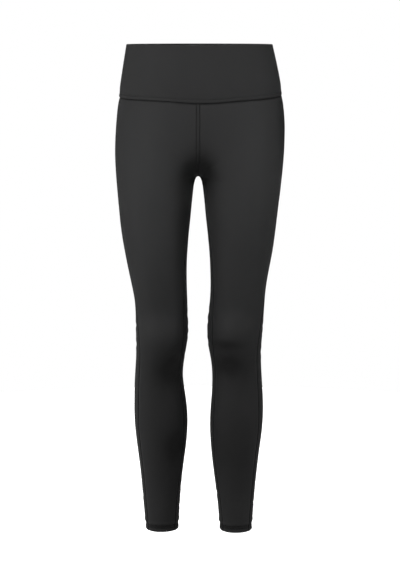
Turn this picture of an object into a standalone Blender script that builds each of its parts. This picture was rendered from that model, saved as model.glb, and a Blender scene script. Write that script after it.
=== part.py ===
"""High-rise stretch leggings, held open in the form they take when worn.

The frame is in metres, with +Z up and the garment's front towards -Y. The origin is the centre of the waist
opening, level with its top edge, so everything hangs below it. "Left" and "right" are as seen from the front:
left is -X.

The worn form is one smooth surface. At each height its level line is worked out from a few named sizes: a round
lobe for each leg, joined across the middle above the crotch and parted below it. Six panels are cut from that
surface along the seams, and each is given the thickness of its cloth on the inside.
"""

import math
from collections import namedtuple

import bmesh
import bpy
import numpy as np

# Cloth
WALL = 0.0015  # one ply of the knit, with what its seam allowances add
BAND_WALL = 0.0026  # the waistband is folded at the top, two plies
BAND_PROUD = 0.0008  # how far the band's doubled cloth stands out from the panels
HEM_WALL = 0.0027  # the panel's end is turned up inside, two plies
HEM_DEPTH = 0.019
HEM_STEP = 0.0015  # the height over which the wall thickens, at the turned-up ply's raw edge
SEAM_GAP = 0.0003  # clearance between pieces that are sewn together

# Places
MIDDLE_X = -0.002  # the centre seams, a little to the left of the waist's centre
CROTCH_Z = -0.254
HEM_Z = -0.9585
CREASE_X = 0.075  # the line down each leg that halves its panels' columns
EDGE_DIP = {"front": 0.001, "back": 0.0}  # how much lower the waist edge is at the centre than at the sides
BAND_SIDE_Z = -0.1035  # the waist seam at the sides
BAND_CENTRE_Z = {"front": -0.1100, "back": -0.1060}  # and at the centre, where it dips
BAND_DIP_POWER = {"front": 1.2, "back": 2.0}  # near 1 is a shallow point, 2 is round

# Form of the level lines
ROUND = 2.15  # power of their curves: 2 is an ellipse, and more is squarer
FOLD = 0.0035  # radius at which the two halves meet in the middle
RISE = {"front": 0.095, "back": 0.130}  # height above the crotch over which the centre seam curves in under the body
RISE_POWER = 2.5  # how the curve of the rise eases out at its upper end
LEAST_SUNK = 1e-6  # stands for no dip at all between the lobes, which the formula can't divide by
LINE_SAMPLES = 241

# Resolution
COLUMNS = 12
BAND_ROWS = 4
TORSO_ROWS = 13
LEG_ROWS = 26
LEG_CROWDING = 0.08  # how strongly the rows crowd together below the crotch

CLOTH_COLOUR = (0.020, 0.020, 0.021, 1.0)
CLOTH_ROUGHNESS = 0.85

# The form at each height: how far each side reaches out from the centre seams, where the front and the back lie,
# how far from the centre seams a leg's fullest point lies, and how far forward the side seam sits, as a share of
# half the depth.
Section = namedtuple("Section", "z out_left out_right front back lobe seam")
SECTIONS = (
    Section(0.000, 0.1372, 0.1421, -0.092, 0.088, 0.012, -0.10),
    Section(-0.050, 0.1453, 0.1534, -0.100, 0.097, 0.018, -0.10),
    Section(-0.100, 0.1518, 0.1613, -0.105, 0.109, 0.028, -0.10),
    Section(-0.150, 0.1573, 0.1663, -0.105, 0.121, 0.043, -0.10),
    Section(-0.200, 0.1607, 0.1665, -0.102, 0.127, 0.062, -0.10),
    Section(-0.250, 0.1595, 0.1632, -0.098, 0.118, 0.078, -0.08),
    Section(-0.300, 0.1553, 0.1572, -0.094, 0.099, 0.085, -0.05),
    Section(-0.350, 0.1503, 0.1511, -0.088, 0.087, 0.084, 0.00),
    Section(-0.400, 0.1426, 0.1443, -0.082, 0.080, 0.082, 0.07),
    Section(-0.450, 0.1328, 0.1353, -0.075, 0.074, 0.079, 0.18),
    Section(-0.500, 0.1242, 0.1301, -0.068, 0.066, 0.076, 0.33),
    Section(-0.550, 0.1223, 0.1269, -0.062, 0.057, 0.073, 0.48),
    Section(-0.600, 0.1219, 0.1236, -0.054, 0.056, 0.074, 0.57),
    Section(-0.650, 0.1244, 0.1250, -0.049, 0.062, 0.077, 0.59),
    Section(-0.700, 0.1257, 0.1276, -0.046, 0.067, 0.076, 0.58),
    Section(-0.750, 0.1245, 0.1266, -0.042, 0.067, 0.075, 0.56),
    Section(-0.800, 0.1189, 0.1206, -0.038, 0.062, 0.074, 0.55),
    Section(-0.850, 0.1130, 0.1148, -0.034, 0.056, 0.074, 0.55),
    Section(-0.900, 0.1088, 0.1104, -0.031, 0.051, 0.074, 0.57),
    Section(-0.9585, 0.1041, 0.1068, -0.029, 0.047, 0.074, 0.60),
)

# The inside of each leg below the crotch: its distance from the centre, and how far forward the inseam sits.
Inside = namedtuple("Inside", "z in_left in_right seam")
INSIDES = (
    Inside(-0.2540, 0.0000, 0.0000, 0.00),
    Inside(-0.2570, 0.0045, 0.0045, 0.01),
    Inside(-0.2650, 0.0078, 0.0079, 0.04),
    Inside(-0.2800, 0.0101, 0.0104, 0.09),
    Inside(-0.3100, 0.0127, 0.0129, 0.18),
    Inside(-0.3500, 0.0166, 0.0168, 0.27),
    Inside(-0.4000, 0.0210, 0.0217, 0.36),
    Inside(-0.4500, 0.0224, 0.0240, 0.43),
    Inside(-0.5000, 0.0212, 0.0227, 0.49),
    Inside(-0.5300, 0.0203, 0.0193, 0.54),
    Inside(-0.5600, 0.0197, 0.0180, 0.57),
    Inside(-0.5900, 0.0236, 0.0206, 0.56),
    Inside(-0.6200, 0.0285, 0.0260, 0.51),
    Inside(-0.6500, 0.0308, 0.0284, 0.47),
    Inside(-0.6800, 0.0275, 0.0280, 0.47),
    Inside(-0.7100, 0.0238, 0.0260, 0.49),
    Inside(-0.7500, 0.0223, 0.0246, 0.50),
    Inside(-0.8000, 0.0266, 0.0273, 0.48),
    Inside(-0.8500, 0.0331, 0.0329, 0.49),
    Inside(-0.9000, 0.0374, 0.0392, 0.55),
    Inside(-0.9585, 0.0404, 0.0438, 0.59),
)

# Soft swells and hollows of the front panels, such as the knees: centre, reach across and down, and height out.
Swell = namedtuple("Swell", "side x z across down height")
SWELLS = (
    Swell("left", 0.070, -0.545, 0.034, 0.030, 0.0040),
    Swell("left", 0.062, -0.610, 0.030, 0.032, -0.0035),
    Swell("right", 0.076, -0.545, 0.034, 0.030, 0.0040),
    Swell("right", 0.066, -0.612, 0.030, 0.030, -0.0035),
)


def spline(levels, values):
    """The natural cubic curve through values at levels, as a function of the level."""
    order = np.argsort(levels)
    at, value = np.array(levels)[order], np.array(values)[order]
    step = np.diff(at)
    slope = np.diff(value) / step
    count = len(at)
    matrix = np.eye(count)
    right = np.zeros(count)
    for i in range(1, count - 1):
        matrix[i, i - 1 : i + 2] = step[i - 1], 2 * (step[i - 1] + step[i]), step[i]
        right[i] = 6 * (slope[i] - slope[i - 1])
    bend = np.linalg.solve(matrix, right)

    def curve(level):
        i = np.clip(np.searchsorted(at, level) - 1, 0, count - 2)
        below, above = level - at[i], at[i + 1] - level
        cubic = (bend[i] * above**3 + bend[i + 1] * below**3) / (6 * step[i])
        start = (value[i] / step[i] - bend[i] * step[i] / 6) * above
        end = (value[i + 1] / step[i] - bend[i + 1] * step[i] / 6) * below
        return cubic + start + end

    return curve


def column(table, name):
    return spline([row.z for row in table], [getattr(row, name) for row in table])


def inside_curve(name):
    """The gap's square has no corner at the crotch, so it is what the curve runs through."""
    squared = spline([row.z for row in INSIDES], [getattr(row, name) ** 2 for row in INSIDES])
    return lambda z: np.sqrt(np.maximum(squared(z), 0.0))


OUT = {side: column(SECTIONS, "out_" + side) for side in ("left", "right")}
IN = {side: inside_curve("in_" + side) for side in ("left", "right")}
FRONT_Y = column(SECTIONS, "front")
BACK_Y = column(SECTIONS, "back")
LOBE = column(SECTIONS, "lobe")
SIDE_SEAM = column(SECTIONS, "seam")
INSEAM = column(INSIDES, "seam")
FACING = {"front": 1, "back": -1}
OUTWARD = {"left": -1, "right": 1}


def powered(value):
    return np.sign(value) * np.abs(value) ** (2 / ROUND)


def seam_angle(share):
    """The angle on a level line at which it lies forward by this share of half its depth."""
    return np.sign(share) * np.arcsin(np.abs(share) ** (ROUND / 2))


def level_lines(side, face, z):
    """How far out, and at what y, one panel's level line runs at each height, from its inner seam to its side seam.

    The line goes round the leg's lobe by angle: 0 points to the middle, half pi to the front or back, pi outwards.
    Above the crotch it starts part of the way round, where it meets the other half of the garment.
    """
    z = z[:, None]
    torso = z > CROTCH_Z
    lobe = LOBE(z)
    middle_y = (FRONT_Y(z) + BACK_Y(z)) / 2
    half_depth = (BACK_Y(z) - FRONT_Y(z)) / 2
    below_rise = 1 - np.clip((z - CROTCH_Z) / RISE[face], 0, 1)
    sunk = np.maximum(1 - (1 - below_rise**RISE_POWER) ** (ROUND / 2), LEAST_SUNK)
    gap = IN[side](np.minimum(z, CROTCH_Z))
    inner = np.where(torso, (lobe - FOLD) / sunk ** (1 / ROUND), lobe - np.hypot(gap, FOLD))
    outer = np.hypot(OUT[side](z), FOLD) - lobe
    inseam = FACING[face] * seam_angle(INSEAM(np.minimum(z, CROTCH_Z)))
    start = np.where(torso, np.arccos(np.sqrt(sunk)), inseam)
    end = math.pi - FACING[face] * seam_angle(SIDE_SEAM(z))
    angle = start + (end - start) * np.linspace(0, 1, LINE_SAMPLES) ** 2
    across = powered(np.cos(angle))
    reach = lobe - np.where(across > 0, inner, outer) * across
    x = np.sqrt(np.maximum(reach**2 - FOLD**2, 0))
    y = middle_y - FACING[face] * half_depth * powered(np.sin(angle))
    return x, y


def sheet(side, face, share, z):
    """A grid of points on the worn form, at these heights and shares of the way from inner seam to side seam."""
    trim = SEAM_GAP / 2
    xs, ys = level_lines(side, face, z.ravel())
    steps = np.hypot(np.diff(xs), np.diff(ys))
    lengths = np.hstack([np.zeros((z.size, 1)), np.cumsum(steps, axis=1)])
    points = np.empty((z.size, 3))
    for i, (x, y, length, part) in enumerate(zip(xs, ys, lengths, share.ravel())):
        crossing = int(np.argmax(x >= CREASE_X))
        crease = np.interp(CREASE_X, x[crossing - 1 : crossing + 1], length[crossing - 1 : crossing + 1])
        place = np.interp(part, (0, 0.5, 1), (trim, crease, length[-1] - trim))
        from_middle = max(np.interp(place, length, x), trim)
        points[i] = MIDDLE_X + OUTWARD[side] * from_middle, np.interp(place, length, y), z.flat[i]
    return points.reshape(z.shape + (3,))


def normals(grid):
    """Unit normals of a grid of points, pointing out of the garment."""
    down = np.gradient(grid, axis=0, edge_order=2)
    along = np.gradient(grid, axis=1, edge_order=2)
    normal = np.cross(down, along)
    normal /= np.linalg.norm(normal, axis=2, keepdims=True)
    centre = grid.mean(axis=(0, 1))
    outward = (normal * (grid - centre)).sum() > 0
    return normal if outward else -normal


def swell(side, face, grid):
    """How far the swells and hollows move each point out."""
    height = np.zeros(grid.shape[:2])
    for bump in SWELLS:
        if face == "front" and bump.side == side:
            across = (OUTWARD[side] * (grid[..., 0] - MIDDLE_X) - bump.x) / bump.across
            down = (grid[..., 2] - bump.z) / bump.down
            height += bump.height * np.exp(-(across**2) - down**2)
    return height[..., None]


def waist_seam_z(face, share):
    """Height of the waist seam, at a share of the way from the centre to the side."""
    dip = BAND_CENTRE_Z[face] - BAND_SIDE_Z
    return BAND_SIDE_Z + dip * (1 - share) ** BAND_DIP_POWER[face]


def slow_start(done):
    """A share of the way down the leg that starts slowly, so that rows crowd below the crotch."""
    return done - LEG_CROWDING * (1 - math.exp(-done / LEG_CROWDING))


def panel_heights(face):
    """Shares and heights of a panel's points. Rows crowd near the crotch, and are even at the side seam."""
    share = np.linspace(0, 1, COLUMNS + 1)
    top = waist_seam_z(face, share) - SEAM_GAP / 2
    rows = []
    for row in range(TORSO_ROWS):
        above = 1 - row / TORSO_ROWS
        rows.append(CROTCH_Z + (top - CROTCH_Z) * (above**2 * (1 - share) + above * share))
    hem_line = HEM_Z + HEM_DEPTH
    for row in range(LEG_ROWS + 1):
        done = row / LEG_ROWS
        eased = slow_start(done) / slow_start(1)
        rows.append(CROTCH_Z + (hem_line - CROTCH_Z) * (eased * (1 - share) + done * share))
    for height in (hem_line - HEM_STEP, hem_line - HEM_DEPTH / 2, HEM_Z):
        rows.append(np.full(share.shape, height))
    return np.tile(share, (len(rows), 1)), np.array(rows)


def band_grid(face):
    """The worn form under a waistband piece, from its left side seam over the centre to its right one."""
    share = np.linspace(0, 1, COLUMNS + 1)
    down = np.linspace(0, 1, BAND_ROWS + 1)[:, None]
    edge = -EDGE_DIP[face] * (1 - share) ** 2
    z = edge + (waist_seam_z(face, share) + SEAM_GAP / 2 - edge) * down
    shares = np.tile(share, (BAND_ROWS + 1, 1))
    left = sheet("left", face, shares, z)[:, ::-1]
    right = sheet("right", face, shares, z)
    left[:, -1, 0] = MIDDLE_X
    return np.concatenate([left, right[:, 1:]], axis=1)


def wall_between(name, outer, inner):
    """A closed wall between two grids of points, as an object of the scene."""
    rows, columns = outer.shape[:2]
    mesh = bmesh.new()
    bmesh.ops.create_grid(mesh, x_segments=columns - 1, y_segments=rows - 1, size=1)
    place = mesh.verts.layers.int.new("place")
    for index, vert in enumerate(mesh.verts):
        vert[place] = index
    extruded = bmesh.ops.extrude_face_region(mesh, geom=mesh.faces[:], use_keep_orig=True)
    moved = {item for item in extruded["geom"] if isinstance(item, bmesh.types.BMVert)}
    for vert in mesh.verts:
        grid = inner if vert in moved else outer
        vert.co = grid[vert[place] // columns, vert[place] % columns]
    bmesh.ops.recalc_face_normals(mesh, faces=mesh.faces[:])
    if mesh.calc_volume(signed=True) < 0:
        bmesh.ops.reverse_faces(mesh, faces=mesh.faces[:])
    data = bpy.data.meshes.new(name)
    mesh.to_mesh(data)
    mesh.free()
    data.shade_smooth()
    data.set_sharp_from_angle(angle=math.radians(40))
    piece = bpy.data.objects.new(name, data)
    bpy.context.scene.collection.objects.link(piece)
    data.materials.append(cloth_material(name))
    return piece


def cloth_material(name):
    material = bpy.data.materials.new(name + "_knit")
    material.use_nodes = True
    shader = material.node_tree.nodes["Principled BSDF"]
    shader.inputs["Base Color"].default_value = CLOTH_COLOUR
    shader.inputs["Roughness"].default_value = CLOTH_ROUGHNESS
    shader.inputs["Metallic"].default_value = 0.0
    return material


def make_panel(side, face):
    """One leg panel, from the waist seam to the hem, doubled where its end is turned up."""
    share, z = panel_heights(face)
    grid = sheet(side, face, share, z)
    out = normals(grid)
    outer = grid + out * swell(side, face, grid)
    wall = np.where(z[:, 0] < HEM_Z + HEM_DEPTH - HEM_STEP / 2, HEM_WALL, WALL)
    return wall_between(f"{face}_{side}", outer, outer - out * wall[:, None, None])


def make_band(face):
    """One waistband piece, a little proud of the panels below it."""
    grid = band_grid(face)
    out = normals(grid)
    outer = grid + out * BAND_PROUD
    return wall_between(f"waistband_{face}", outer, outer - out * BAND_WALL)


def main():
    for leftover in list(bpy.data.objects):
        bpy.data.objects.remove(leftover, do_unlink=True)
    for face in ("front", "back"):
        make_band(face)
    for face in ("front", "back"):
        for side in ("left", "right"):
            make_panel(side, face)


main()
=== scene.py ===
# %% [markdown]
# # High-rise leggings, filled out as when worn
#
# A pair of leggings is one skin of stretch knit: two front panels and two back panels, a doubled
# waistband, and the seams that hold them. It hangs here from its waist with nobody in it. The
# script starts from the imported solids, which give the size and the places, and dresses each of them
# with a finer shell, its seams, its thread and its cloth.

# %% The frame and the tools
import math
from collections import namedtuple

import bmesh
import bpy
import numpy as np
from mathutils import Matrix, Vector


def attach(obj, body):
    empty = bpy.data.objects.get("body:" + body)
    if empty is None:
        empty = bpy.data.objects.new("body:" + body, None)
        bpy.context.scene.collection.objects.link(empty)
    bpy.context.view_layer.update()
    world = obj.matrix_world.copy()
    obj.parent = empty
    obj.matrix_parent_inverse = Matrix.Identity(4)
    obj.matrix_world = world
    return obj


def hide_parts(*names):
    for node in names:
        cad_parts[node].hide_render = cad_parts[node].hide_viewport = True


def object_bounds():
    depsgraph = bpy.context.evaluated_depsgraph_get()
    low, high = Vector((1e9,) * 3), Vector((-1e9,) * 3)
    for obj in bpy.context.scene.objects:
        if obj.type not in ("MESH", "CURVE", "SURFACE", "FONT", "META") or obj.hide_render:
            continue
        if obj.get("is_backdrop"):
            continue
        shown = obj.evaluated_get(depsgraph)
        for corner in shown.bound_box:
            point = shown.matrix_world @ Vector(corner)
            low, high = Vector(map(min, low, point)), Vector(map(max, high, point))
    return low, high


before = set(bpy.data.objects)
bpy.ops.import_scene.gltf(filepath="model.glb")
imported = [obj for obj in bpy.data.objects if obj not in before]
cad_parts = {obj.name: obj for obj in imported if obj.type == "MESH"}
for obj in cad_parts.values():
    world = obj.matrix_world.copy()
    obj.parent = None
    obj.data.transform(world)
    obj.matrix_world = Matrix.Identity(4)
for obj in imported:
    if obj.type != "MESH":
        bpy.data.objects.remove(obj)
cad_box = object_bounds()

print("solids:", ", ".join(sorted(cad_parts)))
print("their box, in mm:", [[round(1000 * value) for value in corner] for corner in cad_box])

# %% [markdown]
# ## The camera
#
# The camera stands 3.4 m away, just above the waist, and looks down a little. A long lens from
# there keeps the legs as long as they are. A near camera would make the waistband look much larger
# than the hems.

# %% The camera
CAMERA_AT = Vector((0.00157, -3.40, 0.0433))
CAMERA_AIM = Vector((0.00157, 0.0, -0.4747))
CAMERA_LENS_MM = 109.48
CAMERA_SENSOR_MM = 36

camera_data = bpy.data.cameras.new("camera")
camera_data.lens = CAMERA_LENS_MM
camera_data.sensor_width = CAMERA_SENSOR_MM
camera = bpy.data.objects.new("camera", camera_data)
camera.location = CAMERA_AT
camera.rotation_euler = (CAMERA_AIM - CAMERA_AT).to_track_quat("-Z", "Y").to_euler()
bpy.context.scene.collection.objects.link(camera)
bpy.context.scene.camera = camera
tilt = math.atan2(CAMERA_AT.z - CAMERA_AIM.z, CAMERA_AIM.y - CAMERA_AT.y)
print("camera looks down by", round(math.degrees(tilt), 1), "degrees")

# %% [markdown]
# ## The worn form
#
# Stretch knit has no shape of its own: it takes the form that fills it. That form is one smooth
# surface, and its level lines are easier to describe than its panels. So short tables give a few
# sizes at each height, smooth curves run through them, and the panels are cut from the surface
# afterwards, along the seams, as a tailor would mark them on a fitted stand. The same tables made
# the solids, so the shells keep their form. What differs is small and named where it is used: how
# full the cloth stands, how low the hems hang, and how the waist seam rises towards the sides.

# %% Sizes of the garment, in metres
MIDDLE_X = -0.002  # the centre seams lie a little to the left
HIPS_Z = -0.200
CROTCH_Z = -0.254
HEM_Z = -0.9585
EDGE_DIP = {"front": 0.001, "back": 0.0}  # how much lower the waist edge is at the centre than at the sides
BAND_SIDE_Z = {"left": -0.1005, "right": -0.0950}  # the waist seam at the sides
BAND_CENTRE_Z = {"front": -0.1086, "back": -0.1060}  # and at the centre
WALL = 0.0015
BAND_WALL = 0.0026  # two plies
BAND_PROUD = 0.0008  # how far the band stands out from the panels
HEM_WALL = 0.0027  # two plies as well
HEM_DEPTH = 0.019
print("from waist to hem:", round(-1000 * HEM_Z), "mm, and to the crotch:", round(-1000 * CROTCH_Z), "mm")

# %% Sizes of the level lines
ROUND = 2.15  # 2 is an ellipse, more is squarer
FOLD = 0.0035  # radius of the bend where the two halves meet
RISE = {"front": 0.095, "back": 0.130}  # over this height above the crotch the halves flow into one
RISE_POWER = 2.5
LEAST_SUNK = 1e-6
LINE_SAMPLES = 241
FACING = {"front": 1, "back": -1}
OUTWARD = {"left": -1, "right": 1}

Section = namedtuple("Section", "z out_left out_right front back lobe seam")
SECTIONS = (
    Section(0.000, 0.1372, 0.1421, -0.092, 0.088, 0.012, -0.10),
    Section(-0.050, 0.1453, 0.1534, -0.100, 0.097, 0.018, -0.10),
    Section(-0.100, 0.1518, 0.1613, -0.105, 0.109, 0.028, -0.10),
    Section(-0.150, 0.1573, 0.1663, -0.105, 0.121, 0.043, -0.10),
    Section(-0.200, 0.1607, 0.1665, -0.102, 0.127, 0.062, -0.10),
    Section(-0.250, 0.1595, 0.1632, -0.098, 0.118, 0.078, -0.08),
    Section(-0.300, 0.1553, 0.1572, -0.094, 0.099, 0.085, -0.05),
    Section(-0.350, 0.1503, 0.1511, -0.088, 0.087, 0.084, 0.00),
    Section(-0.400, 0.1426, 0.1443, -0.082, 0.080, 0.082, 0.07),
    Section(-0.450, 0.1328, 0.1353, -0.075, 0.074, 0.079, 0.18),
    Section(-0.500, 0.1242, 0.1301, -0.068, 0.066, 0.076, 0.33),
    Section(-0.550, 0.1223, 0.1269, -0.062, 0.057, 0.073, 0.48),
    Section(-0.600, 0.1219, 0.1236, -0.054, 0.056, 0.074, 0.57),
    Section(-0.650, 0.1244, 0.1250, -0.049, 0.062, 0.077, 0.59),
    Section(-0.700, 0.1257, 0.1276, -0.046, 0.067, 0.076, 0.58),
    Section(-0.750, 0.1245, 0.1266, -0.042, 0.067, 0.075, 0.56),
    Section(-0.800, 0.1189, 0.1206, -0.038, 0.062, 0.074, 0.55),
    Section(-0.850, 0.1130, 0.1148, -0.034, 0.056, 0.074, 0.55),
    Section(-0.900, 0.1088, 0.1104, -0.031, 0.051, 0.074, 0.57),
    Section(-0.9585, 0.1041, 0.1068, -0.029, 0.047, 0.074, 0.60),
)
print("level lines in the table:", len(SECTIONS))

# %% The inside of each leg: its distance from the centre, and how far forward the inseam sits
Inside = namedtuple("Inside", "z in_left in_right seam")
INSIDES = (
    Inside(-0.2540, 0.0000, 0.0000, 0.00),
    Inside(-0.2570, 0.0045, 0.0045, 0.01),
    Inside(-0.2650, 0.0078, 0.0079, 0.04),
    Inside(-0.2800, 0.0101, 0.0104, 0.09),
    Inside(-0.3100, 0.0127, 0.0129, 0.18),
    Inside(-0.3500, 0.0166, 0.0168, 0.27),
    Inside(-0.4000, 0.0210, 0.0217, 0.36),
    Inside(-0.4500, 0.0224, 0.0240, 0.43),
    Inside(-0.5000, 0.0212, 0.0227, 0.49),
    Inside(-0.5300, 0.0203, 0.0193, 0.54),
    Inside(-0.5600, 0.0197, 0.0180, 0.57),
    Inside(-0.5900, 0.0236, 0.0206, 0.56),
    Inside(-0.6200, 0.0285, 0.0260, 0.51),
    Inside(-0.6500, 0.0308, 0.0284, 0.47),
    Inside(-0.6800, 0.0275, 0.0280, 0.47),
    Inside(-0.7100, 0.0238, 0.0260, 0.49),
    Inside(-0.7500, 0.0223, 0.0246, 0.50),
    Inside(-0.8000, 0.0266, 0.0273, 0.48),
    Inside(-0.8500, 0.0331, 0.0329, 0.49),
    Inside(-0.9000, 0.0374, 0.0392, 0.55),
    Inside(-0.9585, 0.0404, 0.0438, 0.59),
)
print("between the hems:", round(1000 * (INSIDES[-1].in_left + INSIDES[-1].in_right)), "mm")

# %% Smooth curves through the tables
def spline(levels, values):
    """The natural cubic curve through values at levels, as a function of the level."""
    order = np.argsort(levels)
    at, value = np.array(levels)[order], np.array(values)[order]
    step = np.diff(at)
    slope = np.diff(value) / step
    count = len(at)
    matrix = np.eye(count)
    right = np.zeros(count)
    for i in range(1, count - 1):
        matrix[i, i - 1 : i + 2] = step[i - 1], 2 * (step[i - 1] + step[i]), step[i]
        right[i] = 6 * (slope[i] - slope[i - 1])
    bend = np.linalg.solve(matrix, right)

    def curve(level):
        i = np.clip(np.searchsorted(at, level) - 1, 0, count - 2)
        below, above = level - at[i], at[i + 1] - level
        cubic = (bend[i] * above**3 + bend[i + 1] * below**3) / (6 * step[i])
        start = (value[i] / step[i] - bend[i] * step[i] / 6) * above
        end = (value[i + 1] / step[i] - bend[i + 1] * step[i] / 6) * below
        return cubic + start + end

    return curve


def column(table, name):
    return spline([row.z for row in table], [getattr(row, name) for row in table])


def inside_curve(name):
    """The gap's square has no corner at the crotch, so it is what the curve runs through."""
    squared = spline([row.z for row in INSIDES], [getattr(row, name) ** 2 for row in INSIDES])
    return lambda z: np.sqrt(np.maximum(squared(z), 0.0))


OUT = {side: column(SECTIONS, "out_" + side) for side in OUTWARD}
IN = {side: inside_curve("in_" + side) for side in OUTWARD}
FRONT_Y = column(SECTIONS, "front")
BACK_Y = column(SECTIONS, "back")
LOBE = column(SECTIONS, "lobe")
SIDE_SEAM = column(SECTIONS, "seam")
INSEAM = column(INSIDES, "seam")
print("across the hips:", round(1000 * (OUT["left"](HIPS_Z) + OUT["right"](HIPS_Z))), "mm")

# %% [markdown]
# ## Level lines and panels
#
# Seen from above, each half of the garment is a rounded loop, a little squarer than an ellipse.
# Above the crotch the two loops run into each other across the middle, and below it they part into
# legs. A panel takes the stretch of each loop from its inner seam, which is the centre seam and
# then the inseam, to its side seam.

# %% One panel's level lines
def powered(value):
    return np.sign(value) * np.abs(value) ** (2 / ROUND)


def seam_angle(share):
    """The angle on a level line at which it lies forward by this share of half its depth."""
    return np.sign(share) * np.arcsin(np.abs(share) ** (ROUND / 2))


def level_lines(side, face, z):
    """How far out and at what y each level line of a panel runs, from its inner seam to its side seam."""
    z = z[:, None]
    torso = z > CROTCH_Z
    lobe = LOBE(z)
    middle_y = (FRONT_Y(z) + BACK_Y(z)) / 2
    half_depth = (BACK_Y(z) - FRONT_Y(z)) / 2
    below_rise = 1 - np.clip((z - CROTCH_Z) / RISE[face], 0, 1)
    sunk = np.maximum(1 - (1 - below_rise**RISE_POWER) ** (ROUND / 2), LEAST_SUNK)
    gap = IN[side](np.minimum(z, CROTCH_Z))
    inner = np.where(torso, (lobe - FOLD) / sunk ** (1 / ROUND), lobe - np.hypot(gap, FOLD))
    outer = np.hypot(OUT[side](z), FOLD) - lobe
    inseam = FACING[face] * seam_angle(INSEAM(np.minimum(z, CROTCH_Z)))
    start = np.where(torso, np.arccos(np.sqrt(sunk)), inseam)
    end = math.pi - FACING[face] * seam_angle(SIDE_SEAM(z))
    angle = start + (end - start) * np.linspace(0, 1, LINE_SAMPLES) ** 2
    across = powered(np.cos(angle))
    reach = lobe - np.where(across > 0, inner, outer) * across
    x = np.sqrt(np.maximum(reach**2 - FOLD**2, 0))
    y = middle_y - FACING[face] * half_depth * powered(np.sin(angle))
    return x, y


xs, ys = level_lines("left", "front", np.array([HIPS_Z]))
print("a front panel at the hips is", round(1000 * np.hypot(np.diff(xs), np.diff(ys)).sum()), "mm wide")

# %% [markdown]
# ## Where a panel's columns run
#
# A seam is only 6 mm wide, and a thigh is 250 mm round its front. An even grid fine enough for the
# seam would waste a million faces on plain cloth. So ten columns keep fixed distances from each
# seam, close together, and the others share what lies between them. The middle one follows the line
# down the front of the leg where a pressed crease would run, so the columns stay straight however
# the leg's width changes.

# %% Columns at fixed distances from the seams
SEAM_COLUMNS = np.array([0.0, 0.6, 1.2, 1.8, 2.3, 2.8, 3.3, 4.0, 5.0, 6.5]) / 1000
STITCH_COLUMN = 5  # the needle runs along this one
MIDDLE_COLUMNS = 56
USUAL_WIDTH = 0.18  # a panel's width that turns the columns' distances into shares

margin = SEAM_COLUMNS[-1]
inner_shares = SEAM_COLUMNS / USUAL_WIDTH
middle_shares = np.linspace(inner_shares[-1], 1 - inner_shares[-1], MIDDLE_COLUMNS + 1)[1:-1]
SHARES = np.concatenate([inner_shares, middle_shares, 1 - inner_shares[::-1]])
print("columns in a panel:", len(SHARES))


def place_of(shares, crease, width):
    """Distance from the inner seam of points at these shares of a panel's width, in metres."""
    middle = (shares - inner_shares[-1]) / (1 - 2 * inner_shares[-1])
    first_half = margin + (crease - margin) * 2 * middle
    second_half = crease + (width - margin - crease) * (2 * middle - 1)
    between = np.where(middle < 0.5, first_half, second_half)
    near_inner = shares * USUAL_WIDTH
    near_outer = width - (1 - shares) * USUAL_WIDTH
    return np.where(middle <= 0, near_inner, np.where(middle >= 1, near_outer, between))


# %% A place along a level line
LEAST_SPAN = 1e-12


def read_along(lengths, values, place):
    """The value that each line has at this distance along it."""
    after = np.clip((lengths < place[:, None]).sum(axis=1), 1, lengths.shape[1] - 1)
    rows = np.arange(len(place))
    span = lengths[rows, after] - lengths[rows, after - 1]
    share = (place - lengths[rows, after - 1]) / np.maximum(span, LEAST_SPAN)
    return values[rows, after - 1] * (1 - share) + values[rows, after] * share


lengths = np.concatenate([[0], np.cumsum(np.hypot(np.diff(xs), np.diff(ys)))])[None, :]
halfway = read_along(lengths, xs, lengths[:, -1] / 2)
print("halfway round it is", round(1000 * halfway[0]), "mm from the middle")

# %% Points on the worn form
CREASE_X = 0.075
POINTS_AT_ONCE = 4000


def lay_out(side, face, shares, z):
    """A panel's grid of points, each point's distance from the inner seam, and the panel's width there."""
    flat_z, flat_share = z.ravel(), shares.ravel()
    points = np.empty((z.size, 3))
    place = np.empty(z.size)
    width = np.empty(z.size)
    for some in np.array_split(np.arange(z.size), z.size // POINTS_AT_ONCE + 1):
        xs, ys = level_lines(side, face, flat_z[some])
        steps = np.hypot(np.diff(xs), np.diff(ys))
        lengths = np.concatenate([np.zeros((len(some), 1)), np.cumsum(steps, axis=1)], axis=1)
        rows = np.arange(len(some))
        after = np.argmax(xs >= CREASE_X, axis=1)
        part = (CREASE_X - xs[rows, after - 1]) / (xs[rows, after] - xs[rows, after - 1])
        crease = lengths[rows, after - 1] * (1 - part) + lengths[rows, after] * part
        width[some] = lengths[:, -1]
        place[some] = place_of(flat_share[some], crease, width[some])
        points[some, 0] = MIDDLE_X + OUTWARD[side] * read_along(lengths, xs, place[some])
        points[some, 1] = read_along(lengths, ys, place[some])
    points[:, 2] = flat_z
    return points.reshape(z.shape + (3,)), place.reshape(z.shape), width.reshape(z.shape)


def normals(grid):
    """Unit normals of a grid of points, pointing out of the garment."""
    down = np.gradient(grid, axis=0, edge_order=2)
    along = np.gradient(grid, axis=1, edge_order=2)
    normal = np.cross(down, along)
    normal /= np.linalg.norm(normal, axis=2, keepdims=True)
    outward = (normal * (grid - grid.mean(axis=(0, 1)))).sum() > 0
    return normal if outward else -normal


print("the straight columns run", round(1000 * CREASE_X), "mm from the middle")

# %% [markdown]
# ## Where its rows run
#
# Rows crowd where the cloth is sewn: just below the waist seam and along the turned-up hem. Between
# them they fan out from the crotch, because the centre seam is much shorter than the side seam down
# to the same level. The first two rows run 3 mm up behind the band, as the sewn edge does, so no
# light comes through the seam.
#
# The waist seam itself isn't level. It dips at the centre, and rises more on the right than on the
# left. Each quarter of it is one line from a named height at the centre to another at the side,
# with a bend and a power for its shape.

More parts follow.
